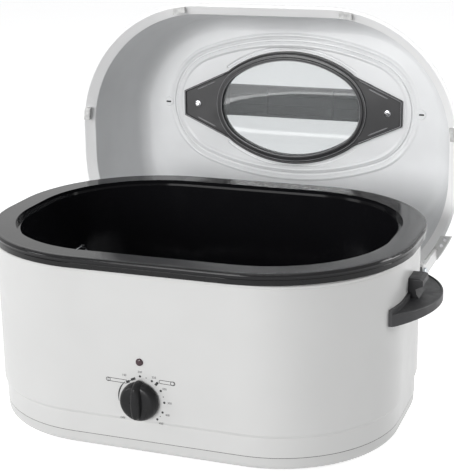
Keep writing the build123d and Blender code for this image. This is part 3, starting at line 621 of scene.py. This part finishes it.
def makeDial():
    s = dialSet
    ink, tree, film = printedInk(), dotTree(), s["film"]
    lift = Vector((0, -film / 2, 0))
    parts = []
    for angles, radius in ((s["dotAngles"], s["dotRadius"]), (s["tickAngles"], s["tickRadius"])):
        places = [dialPoint(a, s["dotTurn"]) + lift for a in angles]
        parts.append(runTree("dots", places, tree, {"Dot Radius": radius, "Film": film, "Ink": ink}))
    for angle, text in s["numbers"].items():
        beside = s["besideFrom"] < angle < s["besideTo"]
        reach = s["numberTurn"] + (s["besideShift"] if beside else 0)
        parts.append(numberMesh(text, dialPoint(angle, reach) + lift))
    middle = dialPoint(0, 0)

    def onPanel(place):
        return middle + Vector((place[0] / 1000, 0, place[1] / 1000))

    for start, end, half, line in s["frames"]:
        parts.append(barOutline(onPanel(start), onPanel(end), half / 1000, line / 1000, film))
    for start, end, width in s["dashes"]:
        parts.append(ribbon([onPanel(start), onPanel(end)], lambda t: width / 1000, film))
    sweep = [dialPoint(a, s["sweepTurn"]) for a in s["sweepAngles"]]
    parts.append(ribbon(sweep, lambda t: s["sweepThin"] + s["sweepSwell"] * math.sin(math.pi * t), film))
    newPiece("dial_print", joinedMesh(parts, "dialPrint"), "oven", ink)
    print("roaster: dial printed")


# Cross-recessed screws that hold the window frame, sizes in metres. The crown is the head's section, radius
# by depth; the cross is two bars, length by width. Turns are in radians.
screwSet = {"crown": ((0, 0), (0.0024, 0.00006), (0.0038, 0.0004), (0.0047, 0.0012)), "headRadius": 0.005,
            "headHeight": 0.0026, "shankRadius": 0.002, "steps": 32, "crossDepth": 0.0014,
            "cross": ((0.00512, 0.0011), (0.00176, 0.0032)), "firstTurn": 0.4, "nextTurn": 0.6}


def screwHead(material):
    s = screwSet
    low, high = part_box("lid_screws")
    length = high.y - low.y
    profile = [*s["crown"], (s["headRadius"], s["headHeight"]), (s["shankRadius"], s["headHeight"]),
               (s["shankRadius"], length), (0, length)]
    turned = bmesh.new()
    points = [turned.verts.new((r, 0, z)) for r, z in profile]
    edges = [turned.edges.new((a, b)) for a, b in zip(points, points[1:])]
    bmesh.ops.spin(turned, geom=points + edges, cent=(0, 0, 0), axis=(0, 0, 1), angle=2 * math.pi,
                   steps=s["steps"], use_duplicate=False)
    bmesh.ops.remove_doubles(turned, verts=turned.verts, dist=1e-6)
    bmesh.ops.recalc_face_normals(turned, faces=turned.faces)
    cutter = bmesh.new()
    for length, width in s["cross"]:
        bmesh.ops.create_cube(cutter, size=1, matrix=Matrix.Diagonal((length, width, s["crossDepth"] * 2, 1)))
    screw = inScene("screw", storedMesh(turned, "screw"))
    cut = inScene("recess", storedMesh(cutter, "recess"))
    boolean = screw.modifiers.new("recess", "BOOLEAN")
    boolean.object, boolean.operation, boolean.solver = cut, "DIFFERENCE", "EXACT"
    boolean.use_self = True
    made = settledMesh(screw, "screwShape")
    bpy.data.objects.remove(cut)
    made.materials.clear()
    made.materials.append(material)
    return made


def makeLidScrews():
    s = screwSet
    finish = finishes["bright_screw"]
    low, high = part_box("lid_screws")
    reach = (high.x - low.x) / 2 - s["headRadius"]
    z = (low.z + high.z) / 2
    shape = inScene("screwShape", screwHead(finish))
    mesh = runTree("lidScrews", [(-reach, low.y, z), (reach, low.y, z)], placingTree("frameScrews"), {
        "Shape": shape, "Turn": (-math.pi / 2, s["firstTurn"], 0), "Next Turn": s["nextTurn"],
        "Finish": finish})
    bpy.data.objects.remove(shape)
    piece = newPiece("frame_screws", mesh, "lid")
    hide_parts("lid_screws")
    print("roaster: lid screws done")


# Moulded grips whose edges are rounded enough to draw a thin line of light. Radius and merge are in metres.
# Faces within flat degrees of each other become one, and an edge of more than sharp degrees is rounded.
edgeSet = {
    "grips": {"lid_grip": ("lid_handle", "lid"), "side_grip_left": ("handle_left", "oven"),
              "side_grip_right": ("handle_right", "oven")},
    "radius": 0.0007, "segments": 2, "merge": 4e-6, "flat": 0.8, "sharp": 38,
}


def makeGrips():
    s = edgeSet
    for name, (node, body) in s["grips"].items():
        mesh = bmesh.new()
        mesh.from_mesh(nodes[node].data)
        bmesh.ops.remove_doubles(mesh, verts=mesh.verts, dist=s["merge"])
        flat = math.radians(s["flat"])
        bmesh.ops.dissolve_limit(mesh, angle_limit=flat, verts=mesh.verts, edges=mesh.edges)
        plain = storedMesh(mesh, name)
        plain.shade_smooth()
        holder = inScene(name + "Plain", plain)
        bevel = holder.modifiers.new("edges", "BEVEL")
        bevel.width, bevel.segments = s["radius"], s["segments"]
        bevel.limit_method, bevel.angle_limit = "ANGLE", math.radians(s["sharp"])
        holder.modifiers.new("flats", "WEIGHTED_NORMAL")
        piece = newPiece(name, settledMesh(holder, name), body, finishes["handle_plastic"])
        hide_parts(node)
    print("roaster: moulded edges rounded,", len(s["grips"]), "pieces")


# The control knob: a low round body with a bar across it that points where it is set. Sizes in metres: the
# body's radius and how far it stands out, then the bar's half width, its reach up and down, and how far out.
# Edges of more than sharp degrees stay crisp.
knobSet = {
    "body": ((0.0213, 0.0008), (0.0219, 0.0014), (0.0219, 0.0036), (0.0214, 0.0062), (0.0204, 0.0088),
             (0.0191, 0.0104), (0.0174, 0.0112), (0.0130, 0.0115)),
    "bar": ((0.0088, 0.0239, 0.0190, 0.0020), (0.0082, 0.0239, 0.0190, 0.0075),
            (0.0066, 0.0230, 0.0184, 0.0110), (0.0054, 0.0214, 0.0172, 0.0145),
            (0.0047, 0.0204, 0.0164, 0.0163), (0.0040, 0.0194, 0.0155, 0.0173),
            (0.0029, 0.0178, 0.0142, 0.0178), (0.0014, 0.0150, 0.0120, 0.0180)),
    "barSquareness": 0.75, "corners": 64, "sharp": 42,
}


def makeKnob():
    s = knobSet
    low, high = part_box("control_shaft")
    middle = Vector(((low.x + high.x) / 2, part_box("control_knob")[1].y, (low.z + high.z) / 2))
    turns = fullTurn(s["corners"])
    body = [[middle + Vector((radius * math.cos(a), -out, radius * math.sin(a))) for a in turns]
            for radius, out in s["body"]]
    bar = []
    for half, up, down, out in s["bar"]:
        ring = []
        for a in turns:
            x = half * math.copysign(abs(math.cos(a)) ** s["barSquareness"], math.cos(a))
            z = (up if math.sin(a) > 0 else down) * math.sin(a)
            ring.append(middle + Vector((x, -out, z)))
        bar.append(ring)
    mesh = joinedMesh([ringedMesh("knobBody", body, False), ringedMesh("knobBar", bar, False)], "turnKnob")
    mesh.shade_smooth()
    mesh.set_sharp_from_angle(angle=math.radians(s["sharp"]))
    piece = newPiece("turn_knob", mesh, "knob", finishes["knob_plastic"])
    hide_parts("control_knob")
    print("roaster: knob done")


# The window follows one oval of four tangent arcs, grown or shrunk all round, and its moulding has two long
# points that take the screws. Sizes in metres; steps, tip zone and sharp are in degrees. An inset moves the
# slanted edges less at the tips and more at the shoulders. Levels are in millimetres from the frame's back,
# negative towards the front.
windowSet = {"halfX": 0.101, "halfZ": 0.068, "end": 0.054, "width": 0.010, "tipX": 0.156, "tipZ": 0.0175,
             "shoulderX": 0.089, "shoulderZ": 0.048, "tipInset": 0.6, "shoulderInset": 1.1, "fineStep": 0.35,
             "coarseStep": 1.2, "tipZone": 8.0, "sharp": 52,
             "levels": {"plate": -3.0, "border": -4.6, "step": -5.4, "rabbet": -2.5}}

# Each part's section, row by row in millimetres: how far in from the pointed outline or out from the oval
# it lies, the level that it starts from, and how far behind that it is.
windowParts = {
    "window_moulding": {"node": "window_frame", "slot": "frame_plastic", "rows": (
        ("inset", 0, "back", 0), ("inset", 0, "border", 0.8), ("inset", 0.25, "border", 0.25),
        ("inset", 0.8, "border", 0), ("inset", 2.1, "border", 0), ("inset", 2.7, "border", 0.3),
        ("inset", 3.1, "plate", 0), ("grow", 6.2, "plate", 0), ("grow", 6.1, "step", 0.9),
        ("grow", 5.8, "step", 0.25), ("grow", 5.1, "step", 0), ("grow", 3.0, "step", 0),
        ("grow", 2.5, "step", -0.2), ("grow", 2.3, "front", 0.9), ("grow", 2.0, "front", 0.25),
        ("grow", 1.3, "front", 0), ("grow", -0.9, "front", 0), ("grow", -1.9, "front", 0.3),
        ("grow", -2.5, "front", 1.1), ("grow", -2.6, "rabbet", 0), ("grow", -0.4, "rabbet", 0),
        ("grow", -0.4, "back", 0))},
    "window_seal": {"node": "window_gasket", "slot": "gasket_rubber", "rows": (
        ("grow", -0.45, "rabbet", 0.1), ("grow", -1.2, "rabbet", 0.1), ("grow", -1.2, "back", 2.2),
        ("grow", -0.45, "back", 2.2))},
    "grip_base": {"node": "handle_base", "slot": "handle_plastic", "rows": (
        ("inset", 0, "outside", 0), ("inset", 0, "outside", 2.3), ("inset", 0.7, "outside", 3.0),
        ("grow", 6.1, "outside", 3.0), ("grow", 5.9, "outside", 4.2), ("grow", 5.3, "outside", 4.8),
        ("grow", -1.5, "outside", 4.8), ("grow", -2.6, "outside", 3.9), ("grow", -2.6, "outside", 1.5),
        ("grow", 0.3, "outside", 1.5), ("grow", 0.3, "outside", 0))},
}
paneRows = (("grow", -1.6, "back", -2.3), ("grow", -1.25, "back", -2.0), ("grow", -1.25, "back", 1.7),
            ("grow", -1.6, "back", 2.0))


def windowAngles():
    # finer across the two tips, which lie far out and end in corners
    s = windowSet
    zone = s["tipZone"]
    fine = round(2 * zone / s["fineStep"])
    coarse = round((180 - 2 * zone) / s["coarseStep"])
    half = [-zone + 2 * zone * k / fine for k in range(fine)]
    half += [zone + (180 - 2 * zone) * k / coarse for k in range(coarse)]
    return [math.radians(a) for a in half] + [math.radians(a + 180) for a in half]


def windowMiddle():
    low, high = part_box("window_frame")
    return (low.z + high.z) / 2


def ovalReach(angle, grow, form=windowSet):
    # how far the oval lies from its middle along one direction
    side, end = form["halfX"] - form["end"], form["end"] + grow
    rise = form["halfZ"] - form["end"]
    drop = (side ** 2 - rise ** 2) / (2 * rise)
    turn = math.atan2(drop, side)
    across, up = abs(math.cos(angle)), abs(math.sin(angle))
    inEnd = math.atan2(up, across) < math.atan2(end * math.sin(turn), side + end * math.cos(turn))
    middle, radius = ((side, 0), end) if inEnd else ((0, -drop), form["halfZ"] + grow + drop)
    along = middle[0] * across + middle[1] * up
    return along + math.sqrt(along ** 2 - middle[0] ** 2 - middle[1] ** 2 + radius ** 2)


def pointedReach(angle, inset):
    # the same for the pointed plate joined with the oval band round the window
    s = windowSet
    tipX, tipZ = s["tipX"] - inset, s["tipZ"] - inset * s["tipInset"]
    shoulderZ = s["shoulderZ"] - inset * s["shoulderInset"]
    across, up = abs(math.cos(angle)), abs(math.sin(angle))
    slope = Vector((shoulderZ - tipZ, tipX - s["shoulderX"])).normalized()
    reaches = [(slope.x * tipX + slope.y * tipZ) / (slope.x * across + slope.y * up)]
    reaches += [size / part for size, part in ((tipX, across), (shoulderZ, up)) if part > 1e-6]
    return max(min(reaches), ovalReach(angle, s["width"] - inset))


def windowRing(y, grow=None, inset=None):
    middle = windowMiddle()
    ring = []
    for angle in windowAngles():
        reach = pointedReach(angle, inset) if grow is None else ovalReach(angle, grow)
        ring.append((reach * math.cos(angle), y, middle + reach * math.sin(angle)))
    return ring


def sectionRings(rows, levels):
    return [windowRing(levels[level] + behind / 1000, **{line: away / 1000})
            for line, away, level, behind in rows]


# Half-round ridges on the moulding, sizes in metres: one along each slanted edge of its points, a finer one
# round each tip as far as tipTurn degrees, and crests round the oval by growth, distance behind the front,
# and radius. Their nylon is coloured paler than the rest as a painted highlight along each ridge.
ridgeSet = {"inset": 0.0062, "length": 0.030, "radius": 0.0009, "from": 0.112, "corners": 10, "steps": 12,
            "endPower": 8, "endLeast": 0.02, "tipInset": 0.00145, "tipRadius": 0.00055, "tipTurn": 24,
            "tipSteps": 60, "crests": ((-0.0016, 0.0002, 0.00045), (0.0055, 0.0025, 0.0004)),
            # painted highlight: the ridges' nylon is paler than the moulding so that they read as lines of
            # light
            "finish": {"name": "rubbedNylon", "hexText": "#7C7C7E", "rough": 0.3, "grainMm": 1.2,
                       "depthMm": 0.01}}


def makeRidges(levels):
    s, w = ridgeSet, windowSet
    middle, turns = windowMiddle(), fullTurn(ridgeSet["corners"])
    slope = Vector((w["tipX"] - w["shoulderX"], w["tipZ"] - w["shoulderZ"])).normalized()
    out = Vector((-slope.y, slope.x))
    rise = slope.y / slope.x * (s["from"] - w["shoulderX"])
    start = Vector((s["from"], w["shoulderZ"] + rise)) - out * s["inset"]
    parts = []
    for sideX, sideZ in ((-1, -1), (-1, 1), (1, -1), (1, 1)):
        rings = []
        for k in range(s["steps"] + 1):
            t = k / s["steps"]
            thin = s["radius"] * math.sqrt(max(1 - (2 * t - 1) ** s["endPower"], s["endLeast"]))
            ring = []
            for a in turns:
                spot = start + slope * s["length"] * t + out * thin * math.cos(a)
                ring.append((sideX * spot.x, levels["plate"] + thin * math.sin(a), middle + sideZ * spot.y))
            rings.append(ring)
        parts.append(ringedMesh("ridge", rings, False))
    tipSteps = range(-s["tipSteps"], s["tipSteps"] + 1)
    tipAngles = [math.radians(s["tipTurn"] * k / s["tipSteps"]) for k in tipSteps]
    for side in (0, math.pi):
        line = [Vector((math.cos(a + side), math.sin(a + side))) * pointedReach(a, s["tipInset"])
                for a in tipAngles]
        rings = []
        for before, point, after in zip([line[0]] + line, line, line[1:] + [line[-1]]):
            along = (after - before).normalized()
            ring = []
            for a in turns:
                spot = point + Vector((-along.y, along.x)) * s["tipRadius"] * math.cos(a)
                ring.append((spot.x, levels["border"] + s["tipRadius"] * math.sin(a), middle + spot.y))
            rings.append(ring)
        parts.append(ringedMesh("tipRidge", rings, False))
    for grow, behind, radius in s["crests"]:
        y = levels["front"] + behind
        rings = [windowRing(y + radius * math.sin(a), grow=grow + radius * math.cos(a)) for a in turns]
        parts.append(ringedMesh("crest", rings, True))
    mesh = joinedMesh(parts, "mouldingRidges")
    mesh.shade_smooth()
    newPiece("moulding_ridges", mesh, "lid", mouldedPlastic(**s["finish"]))


def makeWindow():
    front, back = (corner.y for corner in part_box("window_frame"))
    levels = {name: back + behind / 1000 for name, behind in windowSet["levels"].items()}
    levels.update(front=front, back=back, outside=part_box("handle_base")[0].y)
    for name, part in windowParts.items():
        mesh = ringedMesh(name, sectionRings(part["rows"], levels), True)
        mesh.shade_smooth()
        mesh.set_sharp_from_angle(angle=math.radians(windowSet["sharp"]))
        holder = inScene(name + "Plain", mesh)
        holder.modifiers.new("flats", "WEIGHTED_NORMAL").keep_sharp = True
        piece = newPiece(name, settledMesh(holder, name), "lid", finishes[part["slot"]])
        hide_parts(part["node"])
    makeRidges(levels)
    pane = ringedMesh("window_pane", sectionRings(paneRows, levels), False)
    piece = newPiece("window_pane", pane, "lid", finishes["window_glass"])
    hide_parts("window_glass")
    print("roaster: window done")


# Enamelled covers over the two steam slots, each with a slit whose dark rubber core is painted shade for an
# open slot.
# Sizes in metres; the crown is the cover's section as shares of its radius and thickness, and the fill is a
# share of the thickness too.
ventSet = {"across": 0.181, "rise": 0.302, "sunk": 0.00003, "radius": 0.0068, "thick": 0.0011,
           "crown": ((1, 0), (0.97, 0.6), (0.86, 1)), "slitLength": 0.0084, "slitWidth": 0.0024, "fill": 0.25,
           "corners": 32}


def slitRing(z):
    half = ventSet["slitWidth"] / 2
    end = ventSet["slitLength"] / 2 - half
    ring = []
    for a in fullTurn(ventSet["corners"]):
        x = math.copysign(end, math.cos(a)) if abs(math.cos(a)) > 1e-6 else 0
        ring.append((x + half * math.cos(a), half * math.sin(a), z))
    return ring


def makeVents():
    s = ventSet
    thick = s["thick"]
    cover = [[(s["radius"] * share * math.cos(a), s["radius"] * share * math.sin(a), thick * up)
              for a in fullTurn(s["corners"])] for share, up in s["crown"]]
    cover += [slitRing(thick), slitRing(0)]
    # painted shade: a dark rubber core low in each slit stands in for the dark of the open slot
    core = [slitRing(0), slitRing(thick * s["fill"])]
    shapes = {"vent_covers": ("lid_metal", ringedMesh("ventCover", cover, True)),
              "vent_slits": ("gasket_rubber", ringedMesh("ventSlitShade", core, False))}
    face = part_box("window_frame")[1].y
    places = [(side * s["across"], face - s["sunk"], s["rise"]) for side in (-1, 1)]
    for name, (slot, shape) in shapes.items():
        holder = inScene(name + "Shape", shape)
        mesh = runTree(name, places, placingTree(name), {
            "Shape": holder, "Turn": (math.pi / 2, 0, 0), "Next Turn": 0.0, "Finish": finishes[slot]})
        bpy.data.objects.remove(holder)
        newPiece(name, mesh, "lid")
    print("roaster: steam vents done")


# Soft shoulders on both sides of the rib pressed round the window, lower towards the window's points. Sizes
# in metres, and the angles in degrees between which a shoulder rises from its least share to its height.
shoulderSet = {"halfX": 0.170, "halfZ": 0.093, "end": 0.076, "places": (0.0066, -0.0063), "height": 0.0025,
               "halfWidth": 0.0045, "sunk": 0.0003, "steps": 10, "bare": 12, "full": 30, "least": 0.3}


def makeShoulders():
    s = shoulderSet
    face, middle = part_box("window_frame")[1].y, windowMiddle()
    parts = []
    for place in s["places"]:
        rings = []
        for k in range(s["steps"] + 1):
            t = 2 * k / s["steps"] - 1
            swell = math.cos(math.pi * t / 2) ** 2
            ring = []
            for angle in windowAngles():
                steep = math.degrees(math.atan2(abs(math.sin(angle)), abs(math.cos(angle))))
                share = min(max((steep - s["bare"]) / (s["full"] - s["bare"]), 0), 1)
                eased = share * share * (3 - 2 * share)
                rise = (s["least"] + (1 - s["least"]) * eased) * s["height"]
                reach = ovalReach(angle, place + t * s["halfWidth"], s)
                ring.append((reach * math.cos(angle), face + s["sunk"] * (1 - swell / 2) - rise * swell,
                             middle + reach * math.sin(angle)))
            rings.append(ring)
        parts.append(ringedMesh("shoulder", rings, True))
    mesh = joinedMesh(parts, "ribShoulders")
    mesh.shade_smooth()
    newPiece("rib_shoulders", mesh, "lid", finishes["lid_metal"])
    print("roaster: pressed ribs softened")


def roundedRing(node, inset, corner, z, arcSteps=40):
    # a rounded rectangle inset from a node's box all round; corner is the radius where the inset is nil
    low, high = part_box(node)
    middle = (low + high) / 2
    halfX, halfY = (high.x - low.x) / 2 - corner, (high.y - low.y) / 2 - corner
    radius = corner - inset
    ring = []
    for quarter, (sideX, sideY) in enumerate(((1, 1), (-1, 1), (-1, -1), (1, -1))):
        for k in range(arcSteps + 1):
            a = math.pi / 2 * (quarter + k / arcSteps)
            ring.append((middle.x + sideX * halfX + radius * math.cos(a),
                         middle.y + sideY * halfY + radius * math.sin(a), z))
    return ring


# a dark strip deep in the seam between shell and base pan, painted shade standing in for the shade in the
# gap, sizes in metres; under is how far inside the shell's widest line it lies
seamShadowSet = {"under": 0.0042, "corner": 0.1436, "low": 0.02402, "high": 0.02458, "deep": 0.0007}


def makeSeamShadow():
    s = seamShadowSet
    corners = ((0, "low"), (0, "high"), (s["deep"], "high"), (s["deep"], "low"))
    rings = [roundedRing("outer_shell", s["under"] + inward, s["corner"], s[level])
             for inward, level in corners]
    # painted shade: a black rubber strip fills the seam where only shade falls
    mesh = ringedMesh("seamShadowStrip", rings, True)
    newPiece("seam_strip", mesh, "oven", finishes["gasket_rubber"])
    print("roaster: seam done")


# the rolled edge of the pan's rim, an oval bead that stands a little proud of it, sizes in metres
beadSet = {"corner": 0.165, "across": 0.0044, "up": 0.0030, "inset": 0.0040, "drop": 0.0029, "around": 20}


def makeRimBead():
    s = beadSet
    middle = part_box("roasting_pan")[1].z - s["drop"]
    rings = [roundedRing("roasting_pan", s["inset"] - s["across"] * math.cos(a), s["corner"],
                         middle + s["up"] * math.sin(a)) for a in fullTurn(s["around"])]
    mesh = ringedMesh("rimBead", rings, True)
    mesh.shade_smooth()
    newPiece("rim_bead", mesh, "pan", finishes["pan_enamel"])
    print("roaster: rim bead done")


makeCamera()
makeLamps()
makeRoom()
finishes = paintAll()
makeDial()
makeLidScrews()
makeGrips()
makeKnob()
makeWindow()
makeVents()
makeShoulders()
makeSeamShadow()
makeRimBead()

bpy.context.scene.view_settings.view_transform = "Standard"
